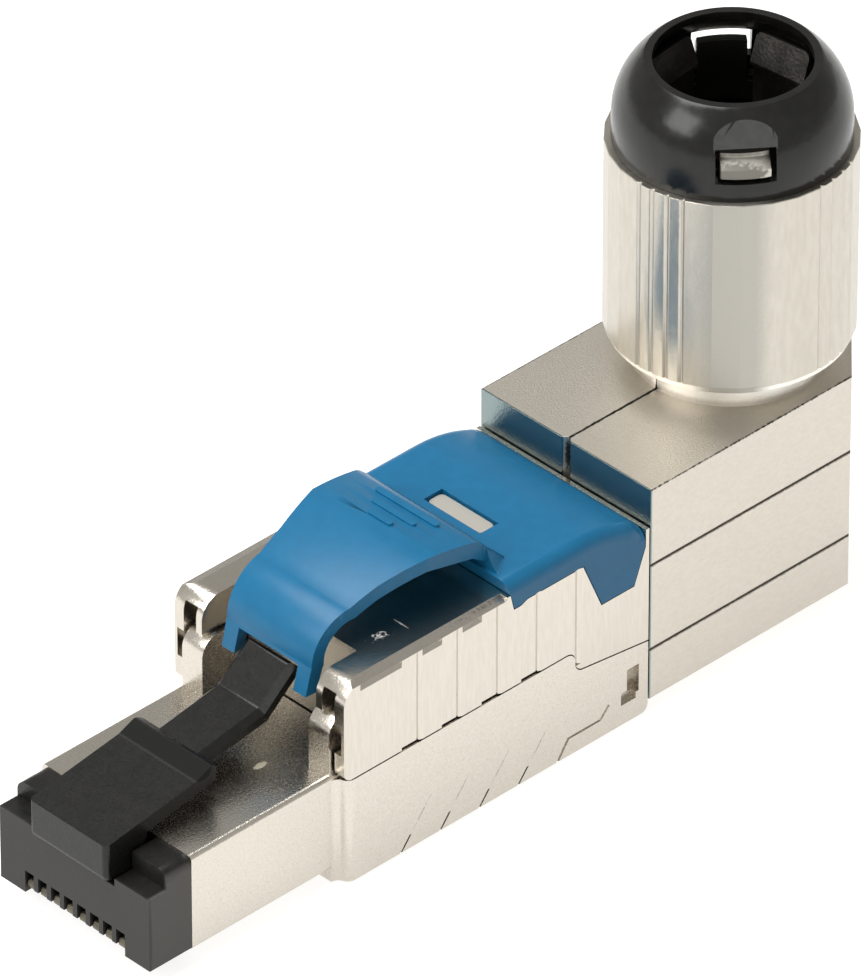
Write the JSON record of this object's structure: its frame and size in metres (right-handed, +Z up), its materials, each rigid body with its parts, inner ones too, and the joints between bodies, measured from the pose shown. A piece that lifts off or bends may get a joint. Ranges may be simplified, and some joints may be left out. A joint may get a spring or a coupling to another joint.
{
  "type": "angled ethernet plug",
  "caption": "Right-angled, field-fitted shielded data plug with a latch, a blue release tab and an upright clamped cable outlet.",
  "frame": {"origin": "bottom centre of the whole plug at rest: under the middle of its length, at the height of the flat underside of the body", "axes": "+X from the nose to the cable elbow, +Y across the plug, +Z up along the cable outlet"},
  "size_m": [0.0564, 0.014, 0.0338],
  "materials": {
    "nickel": "satin nickel plating on zinc die-casting",
    "jaw_metal": "satin",
    "black_plastic": "fine moulded",
    "blue_plastic": "satin moulded",
    "gold": "gold-plated",
    "board": "solder-masked laminate",
    "terminal_plastic": "moulded",
    "terminal_metal": "tinned"
  },
  "bodies": {
    "plug": {"base_housing": "nickel", "cover": "nickel", "contact_carrier": "black_plastic", "release_clip": "blue_plastic", "elbow_left": "nickel", "elbow_right": "nickel", "circuit_board": "board", "terminal_block": "terminal_plastic", "wire_manager": "terminal_plastic", "contact_1": "gold", "contact_2": "gold", "contact_3": "gold", "contact_4": "gold", "contact_5": "gold", "contact_6": "gold", "contact_7": "gold", "contact_8": "gold", "idc_terminal_1": "terminal_metal", "idc_terminal_2": "terminal_metal", "idc_terminal_3": "terminal_metal", "idc_terminal_4": "terminal_metal", "idc_terminal_5": "terminal_metal", "idc_terminal_6": "terminal_metal", "idc_terminal_7": "terminal_metal", "idc_terminal_8": "terminal_metal"},
    "tab": {"release_tab": "blue_plastic"},
    "latch": {"latch_lever": "black_plastic"},
    "cage": {"clamp_jaws": "jaw_metal"},
    "nut": {"clamp_nut": "nickel", "gland_dome": "black_plastic"}
  },
  "joints": [
    {"name": "tab_press", "type": "hinge", "parent": "plug", "child": "tab", "pos_m": [-0.00172, 0, 0.01433], "axis": [0, -1, 0], "range_deg": [0, 5], "stiffness_Nm_per_rad": 0.02},
    {"name": "latch_flex", "type": "hinge", "parent": "plug", "child": "latch", "pos_m": [-0.02633, 0, 0.0062], "axis": [0, 1, 0], "range_deg": [0, 4.6], "stiffness_Nm_per_rad": 0.02},
    {"name": "nut_turn", "type": "hinge", "parent": "cage", "child": "nut", "pos_m": [0.02133, 0, 0.02], "axis": [0, 0, 1], "range_deg": [-545, 1085]},
    {"name": "gland_lift", "type": "slide", "parent": "plug", "child": "cage", "axis": [0, 0, 1], "range_m": [-0.0015, 0.003]}
  ],
  "couplings": [
    {"joint": "latch_flex", "follows": "tab_press", "ratio": 0.88},
    {"joint": "nut_turn", "follows": "gland_lift", "rad_per_m": 6283.2}
  ]
}
